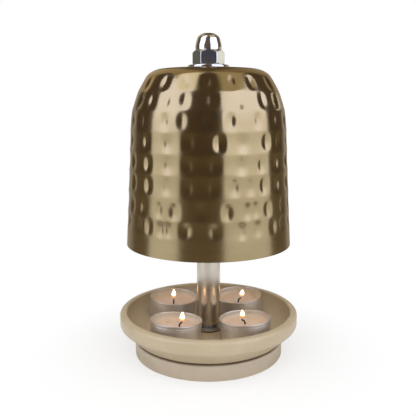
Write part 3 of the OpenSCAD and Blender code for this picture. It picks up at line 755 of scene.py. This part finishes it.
def stage_piece(bm, name, material, seen):
    """A stage piece. An unseen one shows only in what mirrors it."""
    mesh = bpy.data.meshes.new(name)
    bm.to_mesh(mesh)
    bm.free()
    mesh.materials.append(material)
    piece = bpy.data.objects.new(name, mesh)
    bpy.context.collection.objects.link(piece)
    if not seen:
        piece.visible_camera = False
        piece.visible_diffuse = False
        piece.visible_shadow = False
        piece.visible_transmission = False
    return piece


def card(name, low, high, material):
    """A card round the lamp between a low and a high edge (radius, height, from angle, to angle), seen only
    in what mirrors it. Angle 0 is the front, and 90 is +X."""
    bm = bmesh.new()
    bmesh.ops.create_grid(bm, x_segments=math.ceil((low[3] - low[2]) / 5), y_segments=6, size=0.5)
    for v in bm.verts:
        radius, height, start, end = (a + (b - a) * (v.co.y + 0.5) for a, b in zip(low, high))
        angle = math.radians(start + (end - start) * (v.co.x + 0.5))
        v.co = (radius * math.sin(angle), -radius * math.cos(angle), height)
    stage_piece(bm, name, material, False)


def seen_directly(tree):
    """1 for rays from the camera, a mirror or through glass, and 0 for those that light matt surfaces."""
    path = add(tree, "ShaderNodeLightPath", {}, {})
    mirrored = add(tree, "ShaderNodeMath", {"operation": "MAXIMUM"}, {
        0: path.outputs["Is Camera Ray"], 1: path.outputs["Is Glossy Ray"]})
    return add(tree, "ShaderNodeMath", {"operation": "MAXIMUM"}, {
        0: mirrored.outputs[0], 1: path.outputs["Is Transmission Ray"]}).outputs[0]


def floor_paint():
    # Pale card: its lit colour near the lamp, so that the shadow shows, and white further away.
    made, tree, shader, here = start_material(
        "pale_floor", {"Base Color": linear("#f6f6f6"), "Roughness": 0.9})
    away = add(tree, "ShaderNodeVectorMath", {"operation": "LENGTH"}, {0: here})
    fade = add(tree, "ShaderNodeMapRange", {"interpolation_type": "SMOOTHSTEP"}, {
        "Value": away.outputs["Value"], "From Min": 0.07, "From Max": 0.15, "To Min": 0.6, "To Max": 1})
    share = add(tree, "ShaderNodeMath", {"operation": "MULTIPLY"}, {
        0: fade.outputs[0], 1: seen_directly(tree)})
    white = add(tree, "ShaderNodeEmission", {}, {"Color": (1, 1, 1, 1), "Strength": 1})
    mixed = add(tree, "ShaderNodeMixShader", {}, {
        0: share.outputs[0], 1: shader.outputs[0], 2: white.outputs[0]})
    tree.links.new(mixed.outputs[0], tree.nodes["Material Output"].inputs[0])
    return made


def near_floor_paint():
    # The white floor close by, as it shows in the lamp's metal, fading out towards the ground card.
    made, tree, shader, here = start_material("near_floor_card", {
        "Base Color": (0, 0, 0, 1), "Roughness": 1, "Specular IOR Level": 0, "Emission Color": (1, 1, 1, 1),
        "Emission Strength": 1})
    away = add(tree, "ShaderNodeVectorMath", {"operation": "LENGTH"}, {0: here})
    fade = add(tree, "ShaderNodeMapRange", {"interpolation_type": "SMOOTHSTEP"}, {
        "Value": away.outputs["Value"], "From Min": 0.2, "From Max": 0.34, "To Min": 1, "To Max": 0})
    tree.links.new(fade.outputs[0], shader.inputs["Alpha"])
    return made


def card_paint(name, colour, level=1, high_colour=None, high_level=1, low=0, high=1):
    # Studio card: one shade, or one at its foot and another at its top, seen only in what mirrors it.
    made, tree, shader, here = start_material(
        name, {"Base Color": (0, 0, 0, 1), "Roughness": 1, "Specular IOR Level": 0})
    if high_colour is None:
        shader.inputs["Emission Color"].default_value = linear(colour)
        shader.inputs["Emission Strength"].default_value = level
        return made
    height = add(tree, "ShaderNodeSeparateXYZ", {}, {0: here})
    share = add(tree, "ShaderNodeMapRange", {"interpolation_type": "SMOOTHSTEP"}, {
        "Value": height.outputs[2], "From Min": low, "From Max": high, "To Min": 0, "To Max": 1})
    tone = add(tree, "ShaderNodeMix", {"data_type": "RGBA"}, {
        0: share.outputs[0], 6: linear(colour), 7: linear(high_colour)})
    strength = add(tree, "ShaderNodeMapRange", {}, {
        "Value": share.outputs[0], "To Min": level, "To Max": high_level})
    tree.links.new(tone.outputs[2], shader.inputs["Emission Color"])
    tree.links.new(strength.outputs[0], shader.inputs["Emission Strength"])
    return made


ground = bmesh.new()
bmesh.ops.create_grid(ground, x_segments=1, y_segments=1, size=4)
floor = stage_piece(ground, "floor", floor_paint(), True)
floor.visible_glossy = False

DIM = card_paint("dim_card", "#83745a", 1, "#6a5a48", 1, 0.02, 0.24)
BRIGHT = card_paint("bright_card", "#ffffff", 1.3, "#e2e6ff", 2.9, 0.05, 0.45)
WARM = card_paint("warm_card", "#eddfbd", 0.7)
WARM_RIGHT = card_paint("warm_right_card", "#eddfbd", 0.92)
SKY = card_paint("sky_card", "#ffffff", 2)
NEUTRAL = card_paint("neutral_card", "#c6c8cb", 1, "#716046", 1, 0.38, 0.5)
TAN_LEFT = card_paint("tan_left_card", "#ab9f8d", 1, "#d0ba92", 1, 0.28, 0.5)
TAN_RIGHT = card_paint("tan_right_card", "#ab9f8d", 1, "#b09a78", 1, 0.28, 0.5)
DUSK = card_paint("dusk_card", "#716046")
GROUND = card_paint("ground_card", "#a09788")
NUT_FRONT = card_paint("nut_front_card", "#504e56")
NUT_LEFT = card_paint("nut_left_card", "#6e6d62")
NUT_RIGHT = card_paint("nut_right_card", "#fffbe8", 1.15)
# Radius of the walls round the lamp, and the heights where their cards meet
WALL_R = 0.8
LOW, MIDDLE, HIGH, CEILING = -0.15, 0.45, 0.95, 1.2
for name, low, high, paint in (
        ("dim_card_front", (WALL_R, LOW, -39, 20), (WALL_R, MIDDLE, -39, 20), DIM),
        ("dim_card_front_high", (WALL_R, MIDDLE, -39, 20), (WALL_R, HIGH, -30, 20), DIM),
        ("dim_card_front_top", (WALL_R, HIGH, -30, 20), (WALL_R, CEILING, -27, 27), DIM),
        ("bright_card_left", (WALL_R, LOW, -85, -39), (WALL_R, MIDDLE, -85, -39), BRIGHT),
        ("bright_card_left_high", (WALL_R, MIDDLE, -85, -39), (WALL_R, HIGH, -85, -30), BRIGHT),
        ("bright_card_left_top", (WALL_R, HIGH, -85, -30), (WALL_R, CEILING, -85, -27), BRIGHT),
        ("bright_card_right", (WALL_R, LOW, 20, 91), (WALL_R, HIGH, 20, 91), BRIGHT),
        ("warm_card_right_top", (WALL_R, HIGH, 20, 91), (WALL_R, CEILING, 27, 91), WARM_RIGHT),
        ("dim_card_left", (WALL_R, LOW, -125, -85), (WALL_R, CEILING, -125, -85), DIM),
        ("dim_card_right", (WALL_R, LOW, 91, 133), (WALL_R, CEILING, 91, 133), DIM),
        ("tan_card_back_right", (WALL_R, LOW, 133, 166), (WALL_R, CEILING, 133, 166), TAN_RIGHT),
        ("neutral_card_back", (WALL_R, LOW, 166, 196), (WALL_R, CEILING, 166, 196), NEUTRAL),
        ("tan_card_back_left", (WALL_R, LOW, 196, 235), (WALL_R, CEILING, 196, 235), TAN_LEFT),
        ("dim_card_ceiling", (0, CEILING, -27, 27), (WALL_R, CEILING, -27, 27), DIM),
        ("bright_card_ceiling", (0.2, CEILING, -75, -27), (WALL_R, CEILING, -75, -27), SKY),
        ("warm_card_ceiling_middle", (0, CEILING, -75, -27), (0.2, CEILING, -75, -27), WARM),
        ("warm_card_ceiling_right", (0, CEILING, 27, 110), (WALL_R, CEILING, 27, 110), WARM_RIGHT),
        ("tan_card_ceiling_right", (0, CEILING, 110, 160), (WALL_R, CEILING, 110, 160), TAN_RIGHT),
        ("dusk_card_ceiling", (0, CEILING, 160, 203), (WALL_R, CEILING, 160, 203), DUSK),
        ("tan_card_ceiling_left", (0, CEILING, 203, 285), (WALL_R, CEILING, 203, 285), TAN_LEFT),
        ("ground_card", (0, LOW, 0, 360), (3, LOW, 0, 360), GROUND),
        ("near_floor_card", (0.07, 0.0005, 0, 360), (0.34, 0.0005, 0, 360), near_floor_paint()),
        # Small cards just above the bell, which only the cap nut's faces mirror well
        ("nut_front_card", (0.3, 0.237, -8, 16), (0.3, 0.262, -8, 16), NUT_FRONT),
        ("nut_left_card", (0.3, 0.237, -134, -106), (0.3, 0.262, -134, -106), NUT_LEFT),
        ("nut_right_card", (0.3, 0.237, 114, 134), (0.3, 0.262, 114, 134), NUT_RIGHT)):
    card(name, low, high, paint)


def softbox(name, angle, distance, height, width, tall, radiance, towards=(0, 0, 0.1), colour="#ffffff"):
    """A soft lamp at an angle round the object, 0 being the front, which only lights matt surfaces."""
    data = bpy.data.lights.new(name, "AREA")
    data.shape = "RECTANGLE"
    data.size, data.size_y = width, tall
    data.energy = radiance * math.pi * width * tall
    data.color = linear(colour)[:3]
    lamp = bpy.data.objects.new(name, data)
    turn = math.radians(angle)
    lamp.location = (distance * math.sin(turn), -distance * math.cos(turn), height)
    lamp.rotation_euler = (Vector(towards) - lamp.location).to_track_quat("-Z", "Y").to_euler()
    lamp.visible_camera = False
    lamp.visible_glossy = False
    bpy.context.collection.objects.link(lamp)


softbox("softbox_right", 65, 0.6, 0.7, 1.0, 0.7, 1.1)
softbox("softbox_left", -70, 0.6, 0.7, 1.0, 0.7, 1.1)
softbox("softbox_top", 0, 0.15, 0.95, 0.7, 0.7, 0.5)
softbox("softbox_high_front", 0, 0.6, 0.72, 0.8, 0.5, 1.5)
softbox("softbox_low_front", 0, 0.9, 0.3, 0.7, 0.4, 0.75)
# The light that the four flames gather under the bell
softbox("candle_glow", 0, 0, 0.1, 0.06, 0.06, 2, (0, 0, 0), "#ffdcb0")

world = bpy.data.worlds.new("studio")
bpy.context.scene.world = world
world.use_nodes = True
sky = world.node_tree
background = sky.nodes["Background"]
background.inputs["Color"].default_value = (1, 1, 1, 1)
# White where it is seen, and less than half as strong where it lights matt surfaces
sky_level = add(sky, "ShaderNodeMapRange", {}, {"Value": seen_directly(sky), "To Min": 0.45, "To Max": 1})
sky.links.new(sky_level.outputs[0], background.inputs["Strength"])

# The camera that was fitted to the outlines in the photograph
camera_data = bpy.data.cameras.new("camera")
camera_data.sensor_width = 36
camera_data.lens = 50.4
camera_data.shift_x = -0.0012
camera = bpy.data.objects.new("camera", camera_data)
camera.location = (0, -CAMERA_BACK * MM, CAMERA_HEIGHT * MM)
camera.rotation_euler = (math.radians(80), 0, 0)
bpy.context.collection.objects.link(camera)
bpy.context.scene.camera = camera
bpy.context.scene.view_settings.view_transform = "Standard"
